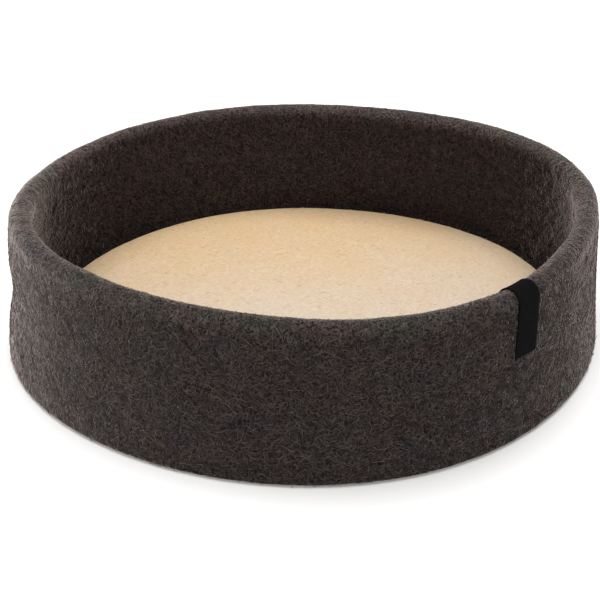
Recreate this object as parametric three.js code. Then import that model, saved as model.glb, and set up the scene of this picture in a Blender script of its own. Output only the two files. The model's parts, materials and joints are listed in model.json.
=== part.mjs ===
// A round felt dog basket: a thick seamless felt shell with a soft rounded rim, a loose felt mat
// lying on its floor, and a narrow woven tape folded over the rim.
// Millimetres, +Z up. The origin is the middle of the underside. A bearing is measured round the
// basket from -Y, the side that faces the viewer, and grows towards +X.

import * as THREE from "three";

const shellSize = {
  height: 125,
  baseRadius: 250,
  rimRadius: 241.5,
  wall: 18,
  floor: 7,
  heelRound: 5,
  innerCorner: 8,
};

const matSize = {
  radius: 220,
  thickness: 9,
  edgeRound: 3.5,
  seat: 0.3,
  crown: 1,
};

// The lean is in degrees round the basket, from one end of the tape to the other.
const tapeSize = {
  width: 22,
  thickness: 1,
  standOff: 0.7,
  leg: 42,
  bearing: 38.2,
  lean: 0.5,
};

// How finely each round is divided, and the shares of the radius at which the flat parts have a ring.
const shellSteps = { round: 96, corner: 3, innerFace: 7, rim: 10, outerFace: 8, heel: 4 };
const matSteps = { round: 72, edge: 3 };
const tapeSteps = { across: 6, along: 42, through: 1 };
const shellRings = [0, 0.5, 0.8];
const matRings = { under: [0, 0.6], top: [0.85, 0.6, 0.3, 0] };

// The felt was shaped by hand, so the wall isn't a true circle. Each row is one wave round the
// basket: how many times it bows out, how far it does so at the rim and at the base, how far the
// rim rises, and the bearing in degrees of the first crest of each.
const waves = [
  { lobes: 2, rimSwing: 1.5, rimCrest: 75, baseSwing: 6, baseCrest: -70, rise: 2, riseCrest: -53 },
  { lobes: 3, rimSwing: 3.5, rimCrest: -11, baseSwing: 1.5, baseCrest: 14, rise: 2, riseCrest: 44 },
  { lobes: 4, rimSwing: 6, rimCrest: 26, baseSwing: 1.5, baseCrest: 15, rise: 0, riseCrest: 0 },
];

// The rim's rise starts at this share of the height. Below it the felt stays level.
const riseFrom = 0.2;

// A floor or a mat keeps its place up to this share of its radius, and bows with the wall beyond it.
const stillShare = 0.5;

// Soft hollows pressed into the wall: the middle of each, its half width round the wall in
// degrees, its half height, and how deep it is.
const hollows = [
  { bearing: -74, height: 60, halfWidth: 34, halfHeight: 32, depth: 2.8 },
  { bearing: 8, height: 66, halfWidth: 40, halfHeight: 34, depth: 1.6 },
  { bearing: 128, height: 58, halfWidth: 30, halfHeight: 34, depth: 2 },
  { bearing: -150, height: 64, halfWidth: 26, halfHeight: 30, depth: 1.6 },
];

// The tape pulls the rim down a little. The half width is in degrees, and the dent starts at the
// given share of the height.
const tapePull = { halfWidth: 10, depth: 1.8, from: 0.75 };

// The top of the mat isn't quite level: shares of its crown, with the crest's bearing in degrees.
const matRipples = [
  { lobes: 2, share: 0.5, crest: -29 },
  { lobes: 3, share: 0.5, crest: 11 },
];

const charcoalFelt = { color: 0x453f3c, roughness: 0.95, metalness: 0 };
const creamFelt = { color: 0xe6cda6, roughness: 0.92, metalness: 0 };
const blackTape = { color: 0x131313, roughness: 0.6, metalness: 0 };

const degree = Math.PI / 180;
const quarterTurn = Math.PI / 2;
const rimRound = shellSize.wall / 2;
const rimMiddle = shellSize.rimRadius - rimRound;
const wallTop = shellSize.height - rimRound;
const cornerTop = shellSize.floor + shellSize.innerCorner;

const outerRadius = (z) =>
  THREE.MathUtils.lerp(shellSize.baseRadius, shellSize.rimRadius, z / shellSize.height);

// 1 in the middle, 0 from the half width on.
const bump = (distance, halfWidth) => THREE.MathUtils.smoothstep(-Math.abs(distance), -halfWidth, 0);

const wave = (lobes, swing, crest, bearing) => swing * Math.cos(lobes * (bearing - crest * degree));

// The shorter way round from one bearing, given in degrees, to another in radians.
const turnFrom = (middle, bearing) =>
  THREE.MathUtils.euclideanModulo(bearing / degree - middle + 180, 360) - 180;

// How far the wall bows out, and how far the felt is lifted, at a bearing and a height.
function unevenness(bearing, z) {
  const up = z / shellSize.height;
  const lift = THREE.MathUtils.smoothstep(up, riseFrom, 1);
  let outward = 0;
  let rise = 0;
  for (const row of waves) {
    const atRim = wave(row.lobes, row.rimSwing, row.rimCrest, bearing);
    const atBase = wave(row.lobes, row.baseSwing, row.baseCrest, bearing);
    outward += THREE.MathUtils.lerp(atBase, atRim, up);
    rise += lift * wave(row.lobes, row.rise, row.riseCrest, bearing);
  }
  for (const hollow of hollows) {
    const turn = turnFrom(hollow.bearing, bearing);
    const share = bump(turn, hollow.halfWidth) * bump(z - hollow.height, hollow.halfHeight);
    outward -= hollow.depth * share;
  }
  const pull = bump(turnFrom(tapeSize.bearing, bearing), tapePull.halfWidth);
  rise -= tapePull.depth * pull * THREE.MathUtils.smoothstep(up, tapePull.from, 1);
  return { outward, rise };
}

// The place in the basket of a point at a bearing, a radius and a height, given as if the wall
// were a true circle. The share says how much of the wall's bow the point takes up.
function placed(bearing, radius, z, share) {
  const { outward, rise } = unevenness(bearing, z);
  const moved = radius + outward * share;
  return [moved * Math.sin(bearing), -moved * Math.cos(bearing), z + rise];
}

// Turns a profile about +Z and lets it bow with the wall out to its full radius.
function turnedByHand(profile, steps, fullRadius) {
  const geometry = new THREE.LatheGeometry(profile, steps).rotateX(quarterTurn);
  const points = geometry.getAttribute("position");
  for (let i = 0; i < points.count; i += 1) {
    const radius = Math.hypot(points.getX(i), points.getY(i));
    const bearing = Math.atan2(points.getX(i), -points.getY(i));
    const share = THREE.MathUtils.smoothstep(radius, stillShare * fullRadius, fullRadius);
    points.setXYZ(i, ...placed(bearing, radius, points.getZ(i), share));
  }
  return geometry;
}

const ringsAt = (shares, radius, z) => shares.map((share) => new THREE.Vector2(share * radius, z));

// The wall as radius and height: up its inner face, over the rim, and down the outer face.
function wallPath() {
  const path = new THREE.Path();
  path.moveTo(outerRadius(cornerTop) - shellSize.wall, cornerTop);
  path.lineTo(rimMiddle - rimRound, wallTop);
  path.absarc(rimMiddle, wallTop, rimRound, Math.PI, 0, true);
  path.lineTo(outerRadius(shellSize.heelRound), shellSize.heelRound);
  return path;
}

// The profile runs from the middle of the sole round the heel, over the wall and in along the floor.
function shellGeometry() {
  const { corner: cornerSteps, heel: heelSteps } = shellSteps;
  const heelMiddle = shellSize.baseRadius - shellSize.heelRound;
  const cornerMiddle = outerRadius(cornerTop) - shellSize.wall - shellSize.innerCorner;
  const [innerFace, rim, outerFace] = wallPath().curves;
  const corner = new THREE.Path();
  corner.absarc(cornerMiddle, cornerTop, shellSize.innerCorner, -quarterTurn, 0, false);
  const heel = new THREE.Path();
  heel.absarc(heelMiddle, shellSize.heelRound, shellSize.heelRound, 0, -quarterTurn, true);
  const profile = [
    ...ringsAt(shellRings, cornerMiddle, shellSize.floor),
    ...corner.getSpacedPoints(cornerSteps),
    ...innerFace.getSpacedPoints(shellSteps.innerFace).slice(1),
    ...rim.getSpacedPoints(shellSteps.rim).slice(1),
    ...outerFace.getSpacedPoints(shellSteps.outerFace).slice(1),
    ...heel.getSpacedPoints(heelSteps).slice(1),
    ...ringsAt(shellRings, heelMiddle, 0).reverse(),
  ].reverse();
  return turnedByHand(profile, shellSteps.round, heelMiddle);
}

// The mat is cut a little smaller than the floor, and swells a little in its middle.
function matGeometry() {
  const low = shellSize.floor + matSize.seat;
  const high = low + matSize.thickness;
  const edge = matSize.radius - matSize.edgeRound;
  const lowerEdge = new THREE.Path();
  lowerEdge.absarc(edge, low + matSize.edgeRound, matSize.edgeRound, -quarterTurn, 0, false);
  const upperEdge = new THREE.Path();
  upperEdge.absarc(edge, high - matSize.edgeRound, matSize.edgeRound, 0, quarterTurn, false);
  const profile = [
    ...ringsAt(matRings.under, edge, low),
    ...lowerEdge.getSpacedPoints(matSteps.edge),
    ...upperEdge.getSpacedPoints(matSteps.edge),
    ...ringsAt(matRings.top, edge, high),
  ];
  const geometry = turnedByHand(profile, matSteps.round, edge);
  const points = geometry.getAttribute("position");
  for (let i = 0; i < points.count; i += 1) {
    const bearing = Math.atan2(points.getX(i), -points.getY(i));
    const out = Math.hypot(points.getX(i), points.getY(i)) / matSize.radius;
    let swell = 1 - out * out;
    for (const ripple of matRipples) {
      swell += wave(ripple.lobes, ripple.share, ripple.crest, bearing) * out * (1 - out);
    }
    const up = (points.getZ(i) - low) / matSize.thickness;
    points.setZ(i, points.getZ(i) + up * matSize.crown * swell);
  }
  return geometry;
}

// A flat strip laid along the wall's path and bent with it, a little off the felt.
function tapeGeometry() {
  const path = wallPath();
  const [innerFace, rim] = path.curves;
  const start = innerFace.getLength() - tapeSize.leg;
  const length = 2 * tapeSize.leg + rim.getLength();
  const geometry = new THREE.BoxGeometry(
    tapeSize.width, length, tapeSize.thickness, tapeSteps.across, tapeSteps.along, tapeSteps.through,
  );
  const points = geometry.getAttribute("position");
  for (let i = 0; i < points.count; i += 1) {
    const along = points.getY(i) + length / 2;
    const share = (start + along) / path.getLength();
    const onFelt = path.getPointAt(share);
    const heading = path.getTangentAt(share);
    const off = points.getZ(i) + tapeSize.thickness / 2 + tapeSize.standOff;
    const leaning = tapeSize.lean * (along / length - 0.5);
    const middle = (tapeSize.bearing + leaning) * degree;
    const bearing = middle - points.getX(i) / shellSize.rimRadius;
    const radius = onFelt.x - heading.y * off;
    points.setXYZ(i, ...placed(bearing, radius, onFelt.y + heading.x * off, 1));
  }
  return geometry;
}

function piece(name, geometry, look) {
  geometry.computeVertexNormals();
  const mesh = new THREE.Mesh(geometry, new THREE.MeshStandardMaterial(look));
  mesh.name = name;
  return mesh;
}

const basket = new THREE.Group();
basket.add(piece("shell", shellGeometry(), charcoalFelt));
basket.add(piece("mat", matGeometry(), creamFelt));
basket.add(piece("tape", tapeGeometry(), blackTape));

export default basket;
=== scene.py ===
import json
import math

import bmesh
import bpy
from mathutils import Matrix, Vector, noise

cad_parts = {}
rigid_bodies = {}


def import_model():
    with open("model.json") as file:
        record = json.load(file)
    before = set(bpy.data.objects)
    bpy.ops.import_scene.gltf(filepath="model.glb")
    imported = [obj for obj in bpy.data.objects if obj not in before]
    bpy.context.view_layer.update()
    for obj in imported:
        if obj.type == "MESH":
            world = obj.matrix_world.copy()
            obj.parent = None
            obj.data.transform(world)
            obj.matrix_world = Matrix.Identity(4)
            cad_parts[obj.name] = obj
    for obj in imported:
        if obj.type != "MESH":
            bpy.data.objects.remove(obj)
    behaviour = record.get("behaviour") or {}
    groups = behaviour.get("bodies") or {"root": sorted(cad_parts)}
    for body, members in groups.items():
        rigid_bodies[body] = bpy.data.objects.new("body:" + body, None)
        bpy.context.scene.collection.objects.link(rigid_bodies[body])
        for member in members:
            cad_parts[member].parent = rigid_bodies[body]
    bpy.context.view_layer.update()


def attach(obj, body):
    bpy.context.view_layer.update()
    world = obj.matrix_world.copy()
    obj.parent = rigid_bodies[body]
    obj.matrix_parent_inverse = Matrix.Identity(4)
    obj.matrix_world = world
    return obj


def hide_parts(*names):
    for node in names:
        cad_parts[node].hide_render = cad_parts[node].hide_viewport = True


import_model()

scene = bpy.context.scene

# Metres, +Z up. A bearing is measured round the basket from -Y, the viewer's side, towards +X.

shellForm = {
    "height": 0.125,
    "baseRadius": 0.250,
    "rimRadius": 0.2415,
    "wall": 0.018,
    "floor": 0.007,
    "heelRound": 0.005,
    "innerCorner": 0.008,
    "stillShare": 0.5,       # the floor keeps its place up to this share of its radius
    "riseFrom": 0.2,         # share of the height where the rim's rise begins
    "wallStep": 0.003,       # how finely the profile is cut on the walls, and on the floor
    "floorStep": 0.02,
    "roundSteps": 7,
    "spinSteps": 320,
    "lumps": [(0.045, 0.0008), (0.014, 0.00035), (0.006, 0.00012)],  # size and depth of each
    "lumpsFrom": 1.2,        # the lumps begin this many floor thicknesses up,
    "lumpsFull": 2.5,        # and are full from here on
}

# how far the wall bows out and lifts: lobes, metres at rim and base, bearing of the first crest
handWaves = [
    {"lobes": 2, "rim": 0.0015, "rimCrest": 75, "base": 0.006, "baseCrest": -70,
     "rise": 0.002, "riseCrest": -53},
    {"lobes": 3, "rim": 0.0035, "rimCrest": -11, "base": 0.0015, "baseCrest": 14,
     "rise": 0.002, "riseCrest": 44},
    {"lobes": 4, "rim": 0.006, "rimCrest": 26, "base": 0.0015, "baseCrest": 15,
     "rise": 0, "riseCrest": 0},
]
handHollows = [
    {"bearing": -74, "height": 0.060, "halfWidth": 34, "halfHeight": 0.032, "depth": 0.0028},
    {"bearing": 8, "height": 0.066, "halfWidth": 40, "halfHeight": 0.034, "depth": 0.0016},
    {"bearing": 128, "height": 0.058, "halfWidth": 30, "halfHeight": 0.034, "depth": 0.002},
    {"bearing": -150, "height": 0.064, "halfWidth": 26, "halfHeight": 0.030, "depth": 0.0016},
]

tapeForm = {
    "width": 0.022,
    "thickness": 0.0009,
    "standOff": 0.0007,
    "leg": 0.042,
    "bearing": 38.2,
    "lean": 0.5,
    "pull": {"halfWidth": 10, "depth": 0.0018, "from": 0.75},  # the tape draws the rim down
    "stepsAcross": 20,
    "stepsAlong": 140,
}

matForm = {
    "radius": 0.220,
    "thickness": 0.009,
    "edgeRound": 0.0035,
    "seat": 0.0003,
    "crown": 0.001,
    "ringStep": 0.0035,
    "roundSteps": 4,
    "spinSteps": 240,
    "ripples": [(2, 0.5, -29), (3, 0.5, 11)],   # lobes, share of the crown, bearing of the crest
    "lumps": [(0.03, 0.0003), (0.008, 0.00012)],
}

# points of a profile or a spun form closer than this become one
profileMerge = 0.00005
spinMerge = 0.00002


def smooth(low, high, x):
    t = min(max((x - low) / (high - low), 0), 1)
    return t * t * (3 - 2 * t)


def bump(distance, halfWidth):  # 1 in the middle, 0 from the half width on
    return smooth(-halfWidth, 0, -abs(distance))


def bearingOf(co):
    return math.atan2(co.x, -co.y)


def turnFrom(middle, bearing):  # the shorter way round, in degrees
    return (math.degrees(bearing) - middle + 180) % 360 - 180


def wave(lobes, swing, crest, bearing):
    return swing * math.cos(lobes * (bearing - math.radians(crest)))


def outerRadius(z):
    share = z / shellForm["height"]
    return shellForm["baseRadius"] + (shellForm["rimRadius"] - shellForm["baseRadius"]) * share


def unevenness(bearing, z):
    up = z / shellForm["height"]
    lift = smooth(shellForm["riseFrom"], 1, up)
    outward = rise = 0
    for row in handWaves:
        atRim = wave(row["lobes"], row["rim"], row["rimCrest"], bearing)
        atBase = wave(row["lobes"], row["base"], row["baseCrest"], bearing)
        outward += atBase + (atRim - atBase) * up
        rise += lift * wave(row["lobes"], row["rise"], row["riseCrest"], bearing)
    for hollow in handHollows:
        across = bump(turnFrom(hollow["bearing"], bearing), hollow["halfWidth"])
        outward -= hollow["depth"] * across * bump(z - hollow["height"], hollow["halfHeight"])
    pull = tapeForm["pull"]
    tug = bump(turnFrom(tapeForm["bearing"], bearing), pull["halfWidth"])
    rise -= pull["depth"] * tug * smooth(pull["from"], 1, up)
    return outward, rise


def placed(bearing, radius, z, share=1.0):
    outward, rise = unevenness(bearing, z)
    moved = radius + outward * share
    return Vector((moved * math.sin(bearing), -moved * math.cos(bearing), z + rise))


def bowWithWall(bm, fullRadius):
    for vert in bm.verts:
        radius = math.hypot(vert.co.x, vert.co.y)
        share = smooth(shellForm["stillShare"] * fullRadius, fullRadius, radius)
        vert.co = placed(bearingOf(vert.co), radius, vert.co.z, share)


# Small lumps along the normals. The underside stays level where the felt stands or lies.
def makeLumpy(bm, lumps, levelBelow, levelFull):
    bm.normal_update()
    for vert in bm.verts:
        free = smooth(levelBelow, levelFull, vert.co.z)
        push = sum(depth * noise.noise(vert.co / size) for size, depth in lumps)
        vert.co += vert.normal * push * free


def addPiece(name, bm):
    mesh = bpy.data.meshes.new(name)
    bm.normal_update()
    bm.to_mesh(mesh)
    bm.free()
    mesh.polygons.foreach_set("use_smooth", [True] * len(mesh.polygons))
    piece = bpy.data.objects.new(name, mesh)
    scene.collection.objects.link(piece)
    return piece


# Spin leaves its edges and faces in an order that changes from run to run, and the hairs are
# scattered by that order, so both are sorted by the places of their vertices in the list.
def sortFaces(bm):
    bm.verts.index_update()
    many = len(bm.verts)

    def edgePlace(edge):
        low, high = sorted(vert.index for vert in edge.verts)
        return low * many + high

    bm.edges.sort(key=edgePlace)
    bm.faces.sort(key=lambda face: face.verts[0].index * many + face.verts[1].index)


# A profile drawn from its corners, rounded by vertex bevels, cut fine, and spun into a closed form.
def spunForm(corners, roundSteps, fineStep, coarseStep, spinSteps):
    bm = bmesh.new()
    verts = [bm.verts.new((corner["r"], 0, corner["z"])) for corner in corners]
    for pair in zip(verts, verts[1:]):
        bm.edges.new(pair)
    for vert, corner in zip(verts, corners):
        if "round" in corner:
            bmesh.ops.bevel(
                bm, geom=[vert], offset=corner["round"], offset_type="OFFSET", affect="VERTICES",
                segments=roundSteps, profile=0.5, material=-1, clamp_overlap=False,
            )
    bmesh.ops.remove_doubles(bm, verts=bm.verts, dist=profileMerge)
    for edge in bm.edges[:]:
        span = edge.verts[0].co - edge.verts[1].co
        step = fineStep if abs(span.z) > abs(span.x) else coarseStep
        cuts = math.ceil(edge.calc_length() / step) - 1
        if cuts > 0:
            bmesh.ops.subdivide_edges(bm, edges=[edge], cuts=cuts)
    bmesh.ops.spin(
        bm, geom=bm.verts[:] + bm.edges[:], axis=(0, 0, 1), cent=(0, 0, 0), angle=2 * math.pi,
        steps=spinSteps, use_merge=True, use_duplicate=False,
    )
    bmesh.ops.remove_doubles(bm, verts=bm.verts, dist=spinMerge)
    bmesh.ops.recalc_face_normals(bm, faces=bm.faces)
    sortFaces(bm)
    return bm


def makeShell():
    form = shellForm
    cornerTop = form["floor"] + form["innerCorner"]
    rimRound = form["wall"] / 2
    wallTop = form["height"] - rimRound
    rimInside = form["rimRadius"] - form["wall"]
    footInside = outerRadius(cornerTop) - form["wall"]
    corners = [
        {"r": 0, "z": form["floor"]},
        {"r": footInside, "z": form["floor"], "round": form["innerCorner"]},
        {"r": rimInside, "z": wallTop},
        {"r": rimInside, "z": form["height"], "round": rimRound},
        {"r": form["rimRadius"], "z": form["height"], "round": rimRound},
        {"r": form["rimRadius"], "z": wallTop},
        {"r": form["baseRadius"], "z": 0, "round": form["heelRound"]},
        {"r": 0, "z": 0},
    ]
    steps = form["wallStep"], form["floorStep"], form["spinSteps"]
    bm = spunForm(corners, form["roundSteps"], *steps)
    bowWithWall(bm, form["baseRadius"] - form["heelRound"])
    levels = form["floor"] * form["lumpsFrom"], form["floor"] * form["lumpsFull"]
    makeLumpy(bm, form["lumps"], *levels)
    return addPiece("basketShell", bm)


def makeMat():
    form = matForm
    low = shellForm["floor"] + form["seat"]
    high = low + form["thickness"]
    corners = [
        {"r": 0, "z": low},
        {"r": form["radius"], "z": low, "round": form["edgeRound"]},
        {"r": form["radius"], "z": high, "round": form["edgeRound"]},
        {"r": 0, "z": high},
    ]
    steps = form["ringStep"], form["ringStep"], form["spinSteps"]
    bm = spunForm(corners, form["roundSteps"], *steps)
    bowWithWall(bm, form["radius"] - form["edgeRound"])
    for vert in bm.verts:
        out = math.hypot(vert.co.x, vert.co.y) / form["radius"]
        swell = 1 - out * out
        for lobes, share, crest in form["ripples"]:
            swell += wave(lobes, share, crest, bearingOf(vert.co)) * out * (1 - out)
        vert.co.z += (vert.co.z - low) / form["thickness"] * form["crown"] * swell
    makeLumpy(bm, form["lumps"], low + form["edgeRound"], high)
    return addPiece("beddingMat", bm)


# The place and the outward direction a distance along the wall, counted from the top of the rim.
def alongWall(distance):
    rimRound = shellForm["wall"] / 2
    rimMiddle, wallTop = shellForm["rimRadius"] - rimRound, shellForm["height"] - rimRound
    quarter = rimRound * math.pi / 2
    if abs(distance) <= quarter:
        turn = distance / rimRound
        return rimMiddle + rimRound * math.sin(turn), wallTop + rimRound * math.cos(turn), turn
    side = math.copysign(1, distance)
    beyond = abs(distance) - quarter
    foot = outerRadius(0) if side > 0 else outerRadius(0) - shellForm["wall"]
    top = rimMiddle + side * rimRound
    lean = math.atan2(foot - top, wallTop)
    turn = math.pi / 2 - lean if side > 0 else -math.pi / 2 - lean
    return top + beyond * math.sin(lean), wallTop - beyond * math.cos(lean), turn


def makeTape():
    form = tapeForm
    halfLength = form["leg"] + shellForm["wall"] / 2 * math.pi / 2
    off = form["standOff"] + form["thickness"] / 2
    bm = bmesh.new()
    bmesh.ops.create_grid(
        bm, x_segments=form["stepsAcross"], y_segments=form["stepsAlong"], size=1, calc_uvs=True,
    )
    for vert in bm.verts:
        across, along = vert.co.x * form["width"] / 2, vert.co.y * halfLength
        radius, z, turn = alongWall(along)
        radius += off * math.sin(turn)
        z += off * math.cos(turn)
        bearing = math.radians(form["bearing"] + form["lean"] * along / halfLength / 2)
        vert.co = placed(bearing + across / shellForm["rimRadius"], radius, z)
    bmesh.ops.recalc_face_normals(bm, faces=bm.faces)
    tape = addPiece("rimTape", bm)
    body = tape.modifiers.new("cloth thickness", "SOLIDIFY")
    body.thickness = form["thickness"]
    body.offset = 0
    return tape


def addNode(tree, kind, **settings):
    node = tree.nodes.new(kind)
    for key, value in settings.items():
        setattr(node, key, value)
    return node


def feed(tree, socket, value):  # a fixed value, or the socket that it comes from
    if isinstance(value, bpy.types.NodeSocket):
        tree.links.new(value, socket)
    elif value is not None:
        socket.default_value = value


def mathNode(tree, operation, a, b=None, c=None):
    node = addNode(tree, "ShaderNodeMath", operation=operation)
    for socket, value in zip(node.inputs, (a, b, c)):
        feed(tree, socket, value)
    return node.outputs[0]


def vectorNode(tree, operation, a, b):
    node = addNode(tree, "ShaderNodeVectorMath", operation=operation)
    feed(tree, node.inputs[0], a)
    feed(tree, node.inputs[1], b)
    return node.outputs[0]


def scaleNode(tree, vector, scale):
    node = addNode(tree, "ShaderNodeVectorMath", operation="SCALE")
    feed(tree, node.inputs[0], vector)
    feed(tree, node.inputs["Scale"], scale)
    return node.outputs[0]


def rangeNode(tree, value, fromLow, fromHigh, toLow=0.0, toHigh=1.0):
    node = addNode(tree, "ShaderNodeMapRange", interpolation_type="SMOOTHSTEP")
    limits = {"From Min": fromLow, "From Max": fromHigh, "To Min": toLow, "To Max": toHigh}
    for label, number in limits.items():
        feed(tree, node.inputs[label], number)
    feed(tree, node.inputs["Value"], value)
    return node.outputs["Result"]


def noiseNode(tree, vector, scale, detail=2.0, roughness=0.5):
    node = addNode(tree, "ShaderNodeTexNoise")
    node.inputs["Scale"].default_value = scale
    node.inputs["Detail"].default_value = detail
    node.inputs["Roughness"].default_value = roughness
    tree.links.new(vector, node.inputs["Vector"])
    return node


def ragged(tree, vector, scale, swing):  # noise that swings by this much round nothing
    spread = noiseNode(tree, vector, scale, 2).outputs["Fac"]
    return mathNode(tree, "MULTIPLY", mathNode(tree, "SUBTRACT", spread, 0.5), swing)


def mixColour(tree, share, a, b):
    node = addNode(tree, "ShaderNodeMix", data_type="RGBA")
    feed(tree, node.inputs[0], share)
    for socket, value in ((node.inputs[6], a), (node.inputs[7], b)):
        feed(tree, socket, (*value, 1) if isinstance(value, tuple) else value)
    return node.outputs[2]


def mixValue(tree, share, a, b):
    node = addNode(tree, "ShaderNodeMix")
    for number, value in ((0, share), (2, a), (3, b)):
        feed(tree, node.inputs[number], value)
    return node.outputs[0]


def separate(tree, vector):
    node = addNode(tree, "ShaderNodeSeparateXYZ")
    tree.links.new(vector, node.inputs[0])
    return node.outputs


# A group with its inputs and outputs, each given as its label and its kind of socket.
def makeGroup(name, inputs, outputs):
    group = bpy.data.node_groups.new(name, "ShaderNodeTree")
    for way, sockets in (("INPUT", inputs), ("OUTPUT", outputs)):
        for label, kind in sockets.items():
            group.interface.new_socket(label, in_out=way, socket_type="NodeSocket" + kind)
    return group, addNode(group, "NodeGroupInput").outputs, addNode(group, "NodeGroupOutput").inputs


napForm = {
    "hair": {"length": 0.0062, "width": 0.00028},
    "longHair": {"length": 0.013, "width": 0.00025},
    "taper": 0.33,             # a hair's pointed root and its even middle, as shares of its length
    "middle": 0.34,
    # how far each kind of hair bows sideways, waves and arches, as shares of its length
    "kinds": [(-0.6, 0.0, 0.08), (-0.2, 0.9, 0.12), (0.15, -0.8, 0.06), (0.35, 0.5, 0.1),
              (0.7, 0.0, 0.08)],
    "longKinds": [(-0.35, 0.0, 0.05), (-0.1, 0.5, 0.06), (0.2, -0.4, 0.04), (0.4, 0.2, 0.05)],
    "offFloor": 0.0003,        # no hair reaches lower than this
    "steep": 0.2,              # how far a face leans out or in where it counts as the wall
    "heelFrom": 0.002,         # heights: above these hair grows on the outer face,
    "wallFrom": 0.014,         # long hair on it, clear of the heel,
    "innerFrom": 0.014,        # hair on the inner face, clear of its corner,
    "rimFrom": 0.112,          # and the felt counts as the rim
    "insideShare": (-0.35, 0.35),  # over these leans the rim turns from the outside to the inside
    "topFrom": 0.8,            # how far a face of the mat looks up where hair grows on it
    "edgeShare": (0.8, 0.98),  # over these the mat turns from its cut edge to its top
    "clearOfTape": 0.0145,     # half the width kept free under the tape, and how far below it
    "belowTape": 0.012,
}
# where each nap grows, how dense, how its hairs lie, and how their sizes vary
napLooks = {
    "outerNap": {
        "where": "outer", "perSquareMetre": 88000, "seed": 3, "flow": (1, 0, 0.4),
        "patches": 30, "swirl": 4, "stray": 1.1, "lift": (0.0, 0.14), "size": (0.6, 1.2),
    },
    "outerUndercoat": {
        "where": "outer", "perSquareMetre": 88000, "seed": 11, "flow": (0, 0, 1),
        "patches": 50, "swirl": 9, "stray": 1.5, "lift": (0.0, 0.12), "size": (0.5, 1.0),
    },
    "innerNap": {
        "where": "inner", "perSquareMetre": 100000, "seed": 5, "flow": (0, 0, 1),
        "patches": 34, "swirl": 8, "stray": 1.2, "lift": (0.0, 0.18), "size": (0.5, 1.0),
    },
    "matNap": {
        "on": "mat", "where": "top", "perSquareMetre": 33000, "seed": 13, "flow": (1, 0, 0),
        "patches": 12, "swirl": 3, "stray": 0.9, "lift": (-0.02, 0.03), "size": (0.5, 1.2),
    },
    "rimNap": {
        "where": "rim", "perSquareMetre": 230000, "seed": 7, "flow": (0, 0, 1),
        "patches": 40, "swirl": 5, "stray": 1.2, "lift": (-0.05, 0.05), "size": (0.45, 0.75),
    },
    "strayHairs": {
        "long": True, "where": "wall", "perSquareMetre": 30000, "seed": 17, "flow": (1, 0, 0),
        "patches": 18, "swirl": 9, "stray": 0.8, "lift": (-0.01, 0.03), "size": (0.6, 1.2),
    },
}


# A short hair, thickest in its middle and pointed at both ends, lying along +X from its root.
def makeHair(name, length, width, bow, sway, arch):
    def only(kind, geom):
        return [item for item in geom if isinstance(item, kind)]

    bm = bmesh.new()
    ring = bmesh.ops.create_circle(bm, segments=3, radius=width / 2)["verts"]
    bmesh.ops.rotate(bm, verts=ring, matrix=Matrix.Rotation(math.pi / 2, 3, "Y"))
    bmesh.ops.translate(bm, verts=ring, vec=(length * napForm["taper"], 0, 0))
    first = bm.edges[:]
    second = bmesh.ops.extrude_edge_only(bm, edges=first)["geom"]
    middle = only(bmesh.types.BMVert, second)
    bmesh.ops.translate(bm, verts=middle, vec=(length * napForm["middle"], 0, 0))
    for edges, tip in ((first, 0), (only(bmesh.types.BMEdge, second), length)):
        end = bmesh.ops.extrude_edge_only(bm, edges=edges)["geom"]
        bmesh.ops.pointmerge(bm, verts=only(bmesh.types.BMVert, end), merge_co=(tip, 0, 0))
    bmesh.ops.recalc_face_normals(bm, faces=bm.faces)
    for vert in bm.verts:
        share = vert.co.x / length
        vert.co.y += (bow + sway * (1 - 2 * share)) * length * share * (1 - share)
        vert.co.z += arch * length * share * (1 - share) - width / 2
    mesh = bpy.data.meshes.new(name)
    bm.to_mesh(mesh)
    bm.free()
    return bpy.data.objects.new(name, mesh)


def markNap(piece, name, rule):
    nap = piece.data.attributes.new(name, "FLOAT", "POINT")
    nap.data.foreach_set("value", [rule(vert.co, vert.normal) for vert in piece.data.vertices])


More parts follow.
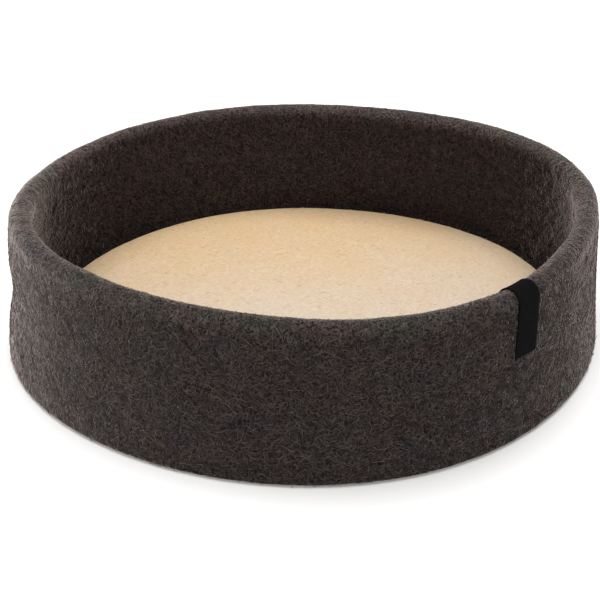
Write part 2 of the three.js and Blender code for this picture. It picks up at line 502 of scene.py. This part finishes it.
# Scatters hairs over a surface with Geometry Nodes and keeps the result as one joined mesh.
def growNap(name, ground, look, hairs):
    tree = bpy.data.node_groups.new(name, "GeometryNodeTree")
    for way in ("INPUT", "OUTPUT"):
        tree.interface.new_socket("Geometry", in_out=way, socket_type="NodeSocketGeometry")
    link = tree.links.new

    def chance(low, high, seed):
        node = addNode(tree, "FunctionNodeRandomValue", data_type="FLOAT")
        node.inputs[2].default_value, node.inputs[3].default_value = low, high
        node.inputs["Seed"].default_value = seed
        return node.outputs[1]

    given, out = addNode(tree, "NodeGroupInput"), addNode(tree, "NodeGroupOutput")
    share = addNode(tree, "GeometryNodeInputNamedAttribute", data_type="FLOAT")
    share.inputs["Name"].default_value = look["where"]
    points = addNode(tree, "GeometryNodeDistributePointsOnFaces", distribute_method="RANDOM")
    link(given.outputs[0], points.inputs["Mesh"])
    density = mathNode(tree, "MULTIPLY", share.outputs[0], look["perSquareMetre"])
    link(density, points.inputs["Density"])
    points.inputs["Seed"].default_value = look["seed"]

    stand = addNode(tree, "FunctionNodeAlignRotationToVector", axis="Z")
    link(points.outputs["Normal"], stand.inputs["Vector"])
    flow = addNode(tree, "FunctionNodeAlignRotationToVector", axis="X", pivot_axis="Z")
    link(stand.outputs[0], flow.inputs["Rotation"])
    flow.inputs["Vector"].default_value = look["flow"]
    place = addNode(tree, "GeometryNodeInputPosition").outputs[0]
    drift = noiseNode(tree, place, look["patches"], 1).outputs[0]
    turn = mathNode(tree, "MULTIPLY", mathNode(tree, "SUBTRACT", drift, 0.5), look["swirl"])
    turn = mathNode(tree, "ADD", turn, chance(-look["stray"], look["stray"], 1))
    bearing = addNode(tree, "ShaderNodeCombineXYZ")
    link(turn, bearing.inputs[2])
    tilt = addNode(tree, "ShaderNodeCombineXYZ")
    link(chance(-look["lift"][1], -look["lift"][0], 2), tilt.inputs[1])
    heading = flow.outputs[0]
    for angles in (bearing, tilt):
        euler = addNode(tree, "FunctionNodeEulerToRotation")
        link(angles.outputs[0], euler.inputs[0])
        twist = addNode(tree, "FunctionNodeRotateRotation", rotation_space="LOCAL")
        link(heading, twist.inputs[0])
        link(euler.outputs[0], twist.inputs[1])
        heading = twist.outputs[0]

    kinds = addNode(tree, "GeometryNodeCollectionInfo")
    kinds.inputs["Collection"].default_value = hairs
    kinds.inputs["Separate Children"].default_value = True
    kinds.inputs["Reset Children"].default_value = True
    plant = addNode(tree, "GeometryNodeInstanceOnPoints")
    link(points.outputs["Points"], plant.inputs["Points"])
    link(kinds.outputs[0], plant.inputs["Instance"])
    plant.inputs["Pick Instance"].default_value = True
    link(heading, plant.inputs["Rotation"])
    link(chance(look["size"][0], look["size"][1], 3), plant.inputs["Scale"])
    shade = addNode(
        tree, "GeometryNodeStoreNamedAttribute", data_type="FLOAT", domain="INSTANCE",
    )
    link(plant.outputs[0], shade.inputs["Geometry"])
    shade.inputs["Name"].default_value = "tone"
    link(chance(0, 1, 4), shade.inputs["Value"])
    joined = addNode(tree, "GeometryNodeRealizeInstances")
    link(shade.outputs[0], joined.inputs[0])
    link(joined.outputs[0], out.inputs[0])

    grower = bpy.data.objects.new("grower", ground.data)
    scene.collection.objects.link(grower)
    grower.modifiers.new("nap", "NODES").node_group = tree
    grown = grower.evaluated_get(bpy.context.evaluated_depsgraph_get())
    mesh = bpy.data.meshes.new_from_object(grown)
    bpy.data.objects.remove(grower)
    mesh.name = name
    for vert in mesh.vertices:
        vert.co.z = max(vert.co.z, napForm["offFloor"])
    piece = bpy.data.objects.new(name, mesh)
    scene.collection.objects.link(piece)
    print("stage:", name, len(mesh.polygons), "faces")
    return piece


def makeNap():
    short = bpy.data.collections.new("shortHairs")
    long = bpy.data.collections.new("longHairs")
    for hairs, size, kinds in ((short, "hair", "kinds"), (long, "longHair", "longKinds")):
        for number, (bow, sway, arch) in enumerate(napForm[kinds]):
            hairName = "%s%d" % (size, number)
            hair = makeHair(hairName, **napForm[size], bow=bow, sway=sway, arch=arch)
            hairs.objects.link(hair)

    def nearTape(co):
        bearing = math.degrees(bearingOf(co))
        tall = co.z > shellForm["height"] - tapeForm["leg"] - napForm["belowTape"]
        away = abs(bearing - tapeForm["bearing"]) * math.radians(1) * shellForm["rimRadius"]
        return tall and away < napForm["clearOfTape"]

    def outwards(co, normal):  # how far the face leans away from the basket's middle
        return (normal.x * co.x + normal.y * co.y) / max(math.hypot(co.x, co.y), 0.001)

    def onWall(co, lean, lowest):
        steep = lean > napForm["steep"]
        return steep and lowest < co.z < napForm["rimFrom"] and not nearTape(co)

    def outer(co, normal):
        return float(onWall(co, outwards(co, normal), napForm["heelFrom"]))

    def wall(co, normal):
        return float(onWall(co, outwards(co, normal), napForm["wallFrom"]))

    def inner(co, normal):
        return float(onWall(co, -outwards(co, normal), napForm["innerFrom"]))

    def rim(co, normal):
        return float(co.z >= napForm["rimFrom"] and not nearTape(co))

    def top(co, normal):
        above = co.z > shellForm["floor"] + matForm["thickness"] / 2
        return float(above and normal.z > napForm["topFrom"])

    def edge(co, normal):
        return 1 - smooth(*napForm["edgeShare"], normal.z)

    def inside(co, normal):
        return smooth(*napForm["insideShare"], -outwards(co, normal))

    for name, rule in (("outer", outer), ("wall", wall), ("inner", inner), ("rim", rim),
                       ("inside", inside)):
        markNap(shell, name, rule)
    for name, rule in (("top", top), ("edge", edge)):
        markNap(mat, name, rule)
    grounds = {"shell": shell, "mat": mat}
    naps = {}
    for name, look in napLooks.items():
        hairs = long if "long" in look else short
        naps[name] = growNap(name, grounds[look.get("on", "shell")], look, hairs)
    for hair in short.objects[:] + long.objects[:]:
        bpy.data.objects.remove(hair)
    return naps


# Tufts of strands: noise drawn out long in one direction. Each layer has its own direction, and
# lies over the layers before it in places as long as a tuft.
tuftForm = {
    "turns": [(0, 90, 0), (0, 0, 20), (0, 48, 25), (0, 0, 110), (0, -44, 150), (55, 0, 118),
              (38, 70, 80)],
    "curls": [(90, 1.0), (260, 0.3)],  # how closely the strands curl, and the share of the curl
    "layerStep": (17.3, 5.1, 9.7),     # each layer's noise starts this far from the last one's
    "strandNoise": (1.0, 1.5, 0.6),    # scale, detail and roughness
    "strandRange": (0.36, 0.64),       # from the dark between strands to their light
    "tuftNoise": (0.24, 0),
    "tuftRange": (0.5, 0.55),          # from under the other tufts to over them
}


def buildTufts():
    tree, given, out = makeGroup(
        "woolTufts", {"Vector": "Vector", "Width": "Float", "Stretch": "Float", "Curl": "Float"},
        {"Strands": "Float", "Tuft": "Float"},
    )
    place = given["Vector"]
    for scale, share in tuftForm["curls"]:
        sway = noiseNode(tree, place, scale, 1).outputs["Color"]
        swing = vectorNode(tree, "SUBTRACT", sway, (0.5, 0.5, 0.5))
        reach = mathNode(tree, "MULTIPLY", given["Curl"], share)
        place = vectorNode(tree, "ADD", place, scaleNode(tree, swing, reach))
    across = mathNode(tree, "DIVIDE", 0.5, given["Width"])
    along = mathNode(tree, "DIVIDE", across, given["Stretch"])
    shape = addNode(tree, "ShaderNodeCombineXYZ")
    for socket, source in zip(shape.inputs, (along, across, across)):
        tree.links.new(source, socket)
    strands = tuft = None
    for number, turn in enumerate(tuftForm["turns"]):
        rotate = addNode(tree, "ShaderNodeVectorRotate", rotation_type="EULER_XYZ")
        rotate.inputs["Rotation"].default_value = [math.radians(angle) for angle in turn]
        tree.links.new(place, rotate.inputs["Vector"])
        drawn = vectorNode(tree, "MULTIPLY", rotate.outputs[0], shape.outputs[0])
        start = tuple(number * step for step in tuftForm["layerStep"])
        drawn = vectorNode(tree, "ADD", drawn, start)
        line = noiseNode(tree, drawn, *tuftForm["strandNoise"]).outputs["Fac"]
        line = rangeNode(tree, line, *tuftForm["strandRange"])
        lying = noiseNode(tree, drawn, *tuftForm["tuftNoise"]).outputs["Fac"]
        if strands is None:
            strands, tuft = line, lying
            continue
        over = rangeNode(tree, lying, *tuftForm["tuftRange"])
        strands = mixValue(tree, over, strands, line)
        tuft = mixValue(tree, over, tuft, lying)
    tree.links.new(strands, out["Strands"])
    tree.links.new(tuft, out["Tuft"])
    return tree


# Wool of several tints, carded together: soft patches of each, the size of a thumb.
tintForm = {
    "squash": (1, 1, 1.5),         # the patches are wider than tall
    "layerStep": (7.7, 3.1, 1.9),
    "patchRange": (0.44, 0.62),
}


def buildTints():
    tree, given, out = makeGroup(
        "cardedTints",
        {"Vector": "Vector", "Base": "Color", "Tint 1": "Color", "Tint 2": "Color",
         "Tint 3": "Color", "Patches": "Float"},
        {"Colour": "Color"},
    )
    colour = given["Base"]
    for number in (1, 2, 3):
        place = vectorNode(tree, "MULTIPLY", given["Vector"], tintForm["squash"])
        place = scaleNode(tree, place, given["Patches"])
        start = tuple(number * step for step in tintForm["layerStep"])
        patch = noiseNode(tree, vectorNode(tree, "ADD", place, start), 1.0).outputs["Fac"]
        share = rangeNode(tree, patch, *tintForm["patchRange"])
        colour = mixColour(tree, share, colour, given["Tint %d" % number])
    tree.links.new(colour, out["Colour"])
    return tree


# Painted light on the charcoal felt: the rim is painted paler and less red, a painted highlight of
# top light and sheen, and the inner face is painted lighter and warmer, painted bounce light from
# the cream mat.
paintedRimInnerLightForm = {
    "raggedScale": 160,
    "raggedSwing": 0.012,      # how far up and down the edge of the painted rim highlight wanders
    "innerDrop": 0.004,        # how much higher it lies inside
}


def buildPaintedRimInnerLight():
    tree, given, out = makeGroup(
        "paintedRimInnerLight",
        {"Vector": "Vector", "Colour": "Color", "Inside": "Float", "Lift": "Float",
         "Inner Lift": "Float", "From": "Float", "To": "Float", "Rim Tint": "Color",
         "Inner Tint": "Color"},
        {"Colour": "Color"},
    )
    limit = ragged(tree, given["Vector"], paintedRimInnerLightForm["raggedScale"], paintedRimInnerLightForm["raggedSwing"])
    height = mathNode(tree, "ADD", separate(tree, given["Vector"])[2], limit)
    drop = mathNode(tree, "MULTIPLY", given["Inside"], paintedRimInnerLightForm["innerDrop"])
    height = mathNode(tree, "SUBTRACT", height, drop)
    near = rangeNode(tree, height, given["From"], given["To"])
    inner = mathNode(tree, "MULTIPLY", given["Inside"], given["Inner Lift"])
    lift = mathNode(tree, "MULTIPLY", near, mathNode(tree, "ADD", given["Lift"], inner))
    lift = mathNode(tree, "ADD", lift, 1.0)
    colour = scaleNode(tree, given["Colour"], lift)
    # painted warm bounce light on the inner face, then the painted rim highlight's tint near the
    # rim
    tint = mixColour(tree, given["Inside"], (1.0, 1.0, 1.0), given["Inner Tint"])
    tint = mixColour(tree, near, tint, given["Rim Tint"])
    tree.links.new(vectorNode(tree, "MULTIPLY", colour, tint), out["Colour"])
    return tree


# Painted light on wool, from one place along Y to another: the cream mat and its hairs are painted
# paler and cooler towards the front, where more of the white light falls.
paintedGradientForm = {
    "raggedScale": 16,
    "raggedSwing": 0.12,
    "slant": 0.2,              # how far the painted light gradient leans across X
}


def buildPaintedGradient():
    tree, given, out = makeGroup(
        "paintedLightGradient",
        {"Vector": "Vector", "Colour": "Color", "Fade": "Color", "From": "Float", "To": "Float"},
        {"Colour": "Color"},
    )
    apart = separate(tree, given["Vector"])
    limit = ragged(tree, given["Vector"], paintedGradientForm["raggedScale"], paintedGradientForm["raggedSwing"])
    front = mathNode(tree, "ADD", apart[1], limit)
    slant = mathNode(tree, "MULTIPLY", apart[0], paintedGradientForm["slant"])
    front = mathNode(tree, "SUBTRACT", front, slant)
    share = rangeNode(tree, front, given["From"], given["To"], 1.0, 0.0)
    paintedShift = mixColour(tree, share, (1.0, 1.0, 1.0), given["Fade"])
    tree.links.new(vectorNode(tree, "MULTIPLY", given["Colour"], paintedShift), out["Colour"])
    return tree


# what the two felts have in common
feltForm = {
    "wearNoise": (130, 3, 0.6),        # scale, detail and roughness of the fine dull spots
    "wearShade": (0.3, 0.7, 0.6, 1.0),     # noise from and to, and how light the wool is there
    # painted shade: tufts lying under other tufts are darker, noise from and to, and how light
    "tuftShade": (0.35, 0.65, 0.7, 1.0),
    "roughness": 0.95,
    "gloss": 0.1,
    "reliefStrength": 0.8,
    "hairRoughness": 0.8,
    "hairGloss": 0.15,
    "hairSheenRoughness": 0.35,
}
charcoalFelt = {
    "paintedGapShade": (0.0036, 0.0029, 0.0027),          # painted shade between the strands
    "wool": (0.0320, 0.0241, 0.0235),
    # violet, olive and red-brown
    "tints": [(0.0310, 0.0238, 0.0256), (0.0298, 0.0251, 0.0223), (0.0343, 0.0241, 0.0224)],
    "patches": 26,
    "width": 0.0007,
    "stretch": 7,
    "curl": 0.007,
    "sheen": 1.0,
    "sheenRoughness": 0.19,
    "hairSheen": 0.13,
    "sheenTint": (0.72, 0.62, 0.58),
    "relief": 0.0004,
    "wearAndPaintedLight": {                 # how much paler the rim is painted (painted highlight of top light and sheen), more so inside, from and to which height, its painted tint there, and painted warm bounce light from the mat inside
                              # tint there and inside
        "Lift": 0.72, "Inner Lift": 1.4, "From": 0.108, "To": 0.122,
        "Rim Tint": (0.96, 1.03, 0.98, 1), "Inner Tint": (1.43, 1.28, 1.21, 1),
    },
    "hairDark": 0.2,          # how dark and how light a hair is beside the wool
    "hairLight": 2.7,
    "hairRarity": 1.1,        # above 1, light hairs are rarer than dark ones
}
creamFelt = {
    # painted shade between the strands
    "paintedGapShade": (0.462, 0.328, 0.190),
    "wool": (0.520, 0.374, 0.226),
    "tints": [(0.530, 0.374, 0.236), (0.508, 0.382, 0.216), (0.520, 0.360, 0.204)],
    "edge": (0.60, 0.50, 0.38),               # painted highlight along the mat's rounded cut edge
    "speck": {                # bits of straw and dark wool caught in the felt
        "colour": (0.20, 0.10, 0.045), "size": 0.0006, "scale": 60, "from": 0.7, "share": 0.6,
    },
    # painted light: the mat is painted paler and cooler towards the front
    "paintedFrontLight": {"Fade": (1.0, 1.17, 1.62, 1), "From": -0.12, "To": 0.19},
    "patches": 24,
    "width": 0.0014,
    "stretch": 10,
    "curl": 0.006,
    "sheen": 0.12,
    "sheenRoughness": 0.35,
    "hairSheen": 0.04,
    "sheenTint": (1.0, 0.93, 0.82),
    "relief": 0.00015,
    "hairDark": 0.97,
    "hairLight": 1.14,
    "hairRarity": 1.0,
}
blackTape = {
    # painted shade in the hollows of the weave
    "paintedGapShade": (0.0008, 0.0008, 0.0009),
    "thread": (0.0042, 0.0042, 0.0044),
    "warpThreads": 22,        # how many threads of each kind the weave shows
    "weftThreads": 110,
    "selvedge": (0.45, 0.47), # where the woven edge begins, as shares of the width off the middle
    "selvedgeHeight": 0.8,
    "rubNoise": (240, 3, 0.6),
    "rubRange": (0.35, 0.75),
    "weaveShown": 0.55,       # how much the raised weave (painted light and shade) and the rubbing (real wear) lighten the thread
    "rubShown": 0.35,
    "roughness": 0.7,
    "gloss": 0.01,
    "relief": 0.00015,
    "reliefStrength": 0.6,
}


def placeGroup(tree, group, vector, values):
    node = addNode(tree, "ShaderNodeGroup", node_tree=group)
    tree.links.new(vector, node.inputs["Vector"])
    for label, value in values.items():
        node.inputs[label].default_value = value
    return node


def attribute(tree, name):
    return addNode(tree, "ShaderNodeAttribute", attribute_name=name).outputs["Fac"]


def newMaterial(name):
    material = bpy.data.materials.new(name)
    material.use_nodes = True
    return material, material.node_tree, material.node_tree.nodes["Principled BSDF"]


def objectPlace(tree):
    return addNode(tree, "ShaderNodeTexCoord").outputs["Object"]


def setFinish(shader, roughness, gloss):
    shader.inputs["Roughness"].default_value = roughness
    shader.inputs["Specular IOR Level"].default_value = gloss


def setSheen(shader, weight, roughness, tint):
    shader.inputs["Sheen Weight"].default_value = weight
    shader.inputs["Sheen Roughness"].default_value = roughness
    shader.inputs["Sheen Tint"].default_value = (*tint, 1)


def addRelief(tree, shader, height, strength, depth):
    relief = addNode(tree, "ShaderNodeBump")
    relief.inputs["Strength"].default_value = strength
    relief.inputs["Distance"].default_value = depth
    tree.links.new(height, relief.inputs["Height"])
    tree.links.new(relief.outputs["Normal"], shader.inputs["Normal"])


def tintedWool(tree, place, look):
    values = {"Patches": look["patches"], "Base": (*look["wool"], 1)}
    for number, tint in enumerate(look["tints"], 1):
        values["Tint %d" % number] = (*tint, 1)
    return placeGroup(tree, tintGroup, place, values).outputs["Colour"]


# Paints light onto the wool: the rim highlight and inner bounce light on the charcoal felt, or the
# light gradient on the cream mat.
def paintedLightOnWool(tree, place, colour, look):
    if "wearAndPaintedLight" in look:
        node = placeGroup(tree, paintedRimInnerLightGroup, place, look["wearAndPaintedLight"])
        tree.links.new(attribute(tree, "inside"), node.inputs["Inside"])
    else:
        node = placeGroup(tree, paintedGradientGroup, place, look["paintedFrontLight"])
    tree.links.new(colour, node.inputs["Colour"])
    return node.outputs["Colour"]


def addSpecks(tree, place, colour, speck):
    bits = addNode(tree, "ShaderNodeTexVoronoi")
    bits.inputs["Scale"].default_value = speck["scale"]
    tree.links.new(place, bits.inputs["Vector"])
    chance = separate(tree, bits.outputs["Color"])[0]
    size = rangeNode(tree, chance, speck["from"], 1.0, 0.0, speck["size"] * speck["scale"])
    near = mathNode(tree, "LESS_THAN", bits.outputs["Distance"], size)
    share = mathNode(tree, "MULTIPLY", near, speck["share"])
    return mixColour(tree, share, colour, speck["colour"])


def feltMaterial(name, look):
    material, tree, shader = newMaterial(name)
    place = objectPlace(tree)
    strand = {"Width": look["width"], "Stretch": look["stretch"], "Curl": look["curl"]}
    tufts = placeGroup(tree, tuftGroup, place, strand)
    wool = tintedWool(tree, place, look)
    wearAndPaintedLight = noiseNode(tree, place, *feltForm["wearNoise"]).outputs["Fac"]
    dull = rangeNode(tree, wearAndPaintedLight, *feltForm["wearShade"])
    # tufts lying under other tufts get painted shade
    deep = rangeNode(tree, tufts.outputs["Tuft"], *feltForm["tuftShade"])
    lit = mathNode(tree, "MULTIPLY", tufts.outputs["Strands"], dull)
    lit = mathNode(tree, "MULTIPLY", lit, deep)
    # painted shade between the strands, then painted light on the wool
    colour = paintedLightOnWool(tree, place, mixColour(tree, lit, look["paintedGapShade"], wool), look)
    # painted highlight on the mat's rounded edge
    if "edge" in look:
        colour = mixColour(tree, attribute(tree, "edge"), colour, look["edge"])
    if "speck" in look:
        colour = addSpecks(tree, place, colour, look["speck"])
    tree.links.new(colour, shader.inputs["Base Color"])
    setFinish(shader, feltForm["roughness"], feltForm["gloss"])
    setSheen(shader, look["sheen"], look["sheenRoughness"], look["sheenTint"])
    height = mathNode(tree, "ADD", tufts.outputs["Strands"], wearAndPaintedLight)
    addRelief(tree, shader, height, feltForm["reliefStrength"], look["relief"])
    return material


def napMaterial(name, look):
    material, tree, shader = newMaterial(name)
    place = objectPlace(tree)
    rare = mathNode(tree, "POWER", attribute(tree, "tone"), look["hairRarity"])
    reach = look["hairLight"] - look["hairDark"]
    bright = mathNode(tree, "MULTIPLY_ADD", rare, reach, look["hairDark"])
    wool = paintedLightOnWool(tree, place, tintedWool(tree, place, look), look)
    colour = scaleNode(tree, wool, bright)
    tree.links.new(colour, shader.inputs["Base Color"])
    setFinish(shader, feltForm["hairRoughness"], feltForm["hairGloss"])
    setSheen(shader, look["hairSheen"], feltForm["hairSheenRoughness"], look["sheenTint"])
    return material


def tapeMaterial():
    material, tree, shader = newMaterial("blackWovenTape")
    look = blackTape
    apart = separate(tree, addNode(tree, "ShaderNodeUVMap").outputs[0])
    across, along = apart[0], apart[1]

    def threads(place, count):
        return mathNode(tree, "SINE", mathNode(tree, "MULTIPLY", place, 2 * math.pi * count))

    warp, weft = threads(across, look["warpThreads"]), threads(along, look["weftThreads"])
    weave = rangeNode(tree, mathNode(tree, "MULTIPLY", warp, weft), -1.0, 1.0)
    fromMiddle = mathNode(tree, "ABSOLUTE", mathNode(tree, "SUBTRACT", across, 0.5))
    selvedge = rangeNode(tree, fromMiddle, *look["selvedge"])
    raised = mathNode(tree, "MULTIPLY", selvedge, look["selvedgeHeight"])
    height = mathNode(tree, "ADD", weave, raised)
    rubbed = noiseNode(tree, objectPlace(tree), *look["rubNoise"]).outputs["Fac"]
    rubbed = rangeNode(tree, rubbed, *look["rubRange"])
    # raised threads and the raised selvedge are painted lighter and the hollows painted shade; the
    # rubbing is real wear
    shown = mathNode(
        tree, "ADD", mathNode(tree, "MULTIPLY", height, look["weaveShown"]),
        mathNode(tree, "MULTIPLY", rubbed, look["rubShown"]),
    )
    colour = mixColour(tree, shown, look["paintedGapShade"], look["thread"])
    tree.links.new(colour, shader.inputs["Base Color"])
    setFinish(shader, look["roughness"], look["gloss"])
    addRelief(tree, shader, height, look["reliefStrength"], look["relief"])
    return material


studio = {
    "floorSize": 8,
    "floorColour": (0.70, 0.70, 0.70),
    "floorRoughness": 0.9,
    "roomGlow": 0.75,
    "aim": (0, 0, 0.05),
    "lamps": {
        "overhead": {
            "at": (0.0, 0.9, 11.2), "wide": 8.8, "tall": 8.8, "power": 1520, "tint": (1, 1, 1),
        },
        "frontLeft": {
            "at": (-0.8, -2.0, 0.7), "wide": 1.0, "tall": 0.5, "power": 13, "tint": (1, 1, 1),
        },
        "frontRight": {
            "at": (0.8, -2.0, 0.7), "wide": 1.0, "tall": 0.5, "power": 12, "tint": (1, 0.92, 0.80),
        },
        "left": {
            "at": (-1.5, 0.3, 0.035), "wide": 0.9, "tall": 0.065, "power": 47,
            "tint": (1, 0.95, 0.88),
        },
        "right": {
            "at": (1.5, 0.6, 0.07), "wide": 0.9, "tall": 0.13, "power": 3, "tint": (1, 0.86, 0.70),
        },
        "leftBack": {
            "at": (-1.05, 1.2, 0.1), "wide": 0.6, "tall": 0.18, "power": 22,
            "tint": (1, 0.95, 0.88),
        },
        "rightBack": {
            "at": (1.05, 1.2, 0.1), "wide": 0.6, "tall": 0.18, "power": 4,
            "tint": (1, 0.86, 0.70),
        },
    },
}
camera = {
    "lens": 61.73,
    "sensor": 36,
    "at": (-0.00554, -0.81040, 0.43990),
    "tilt": 62.396,
    "roll": 0.205,
    "nearest": 0.01,
    "farthest": 50,
}


def makeFloor():
    bm = bmesh.new()
    bmesh.ops.create_grid(bm, x_segments=1, y_segments=1, size=studio["floorSize"] / 2)
    floor = addPiece("studioFloor", bm)
    material, tree, shader = newMaterial("paleFloor")
    shader.inputs["Base Color"].default_value = (*studio["floorColour"], 1)
    setFinish(shader, studio["floorRoughness"], 0.0)
    floor.data.materials.append(material)


def makeRoom():  # white where the camera sees it, and softer as a light
    world = bpy.data.worlds.new("studioRoom")
    world.use_nodes = True
    tree = world.node_tree
    glow = tree.nodes["Background"]
    glow.inputs["Color"].default_value = (1, 1, 1, 1)
    seen = addNode(tree, "ShaderNodeLightPath").outputs["Is Camera Ray"]
    tree.links.new(mathNode(tree, "MAXIMUM", studio["roomGlow"], seen), glow.inputs["Strength"])
    scene.world = world


def makeLamps():
    for name, lamp in studio["lamps"].items():
        light = bpy.data.lights.new(name, "AREA")
        light.shape = "RECTANGLE"
        light.size, light.size_y = lamp["wide"], lamp["tall"]
        light.energy = lamp["power"]
        light.color = lamp["tint"]
        holder = bpy.data.objects.new(name, light)
        holder.location = lamp["at"]
        towards = Vector(studio["aim"]) - Vector(lamp["at"])
        holder.rotation_euler = towards.to_track_quat("-Z", "Y").to_euler()
        scene.collection.objects.link(holder)


def makeCamera():
    view = bpy.data.cameras.new("view")
    view.lens = camera["lens"]
    view.sensor_width = camera["sensor"]
    view.clip_start, view.clip_end = camera["nearest"], camera["farthest"]
    holder = bpy.data.objects.new("view", view)
    holder.location = camera["at"]
    holder.rotation_mode = "ZYX"
    holder.rotation_euler = (math.radians(camera["tilt"]), 0, math.radians(camera["roll"]))
    scene.collection.objects.link(holder)
    scene.camera = holder


print("stage: felt forms")
shell = makeShell()
mat = makeMat()
tape = makeTape()
naps = makeNap()

print("stage: materials")
paintedRimInnerLightGroup = buildPaintedRimInnerLight()
paintedGradientGroup = buildPaintedGradient()
tuftGroup = buildTufts()
tintGroup = buildTints()
charcoal = feltMaterial("charcoalFelt", charcoalFelt)
cream = feltMaterial("creamFelt", creamFelt)
charcoalHair = napMaterial("charcoalHair", charcoalFelt)
black = tapeMaterial()
creamHair = napMaterial("creamHair", creamFelt)
for name, piece in naps.items():
    piece.data.materials.clear()
    piece.data.materials.append(creamHair if name == "matNap" else charcoalHair)
for piece, material in ((shell, charcoal), (mat, cream), (tape, black)):
    piece.data.materials.append(material)

print("stage: studio")
makeFloor()
makeRoom()
makeLamps()
makeCamera()
scene.view_settings.view_transform = "Standard"

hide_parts("shell")
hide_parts("mat")
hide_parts("tape")
for piece, slot in ((shell, "felt_charcoal"), (mat, "felt_cream"), (tape, "tape_black")):
    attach(piece, "root")
for name, piece in naps.items():
    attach(piece, "root")
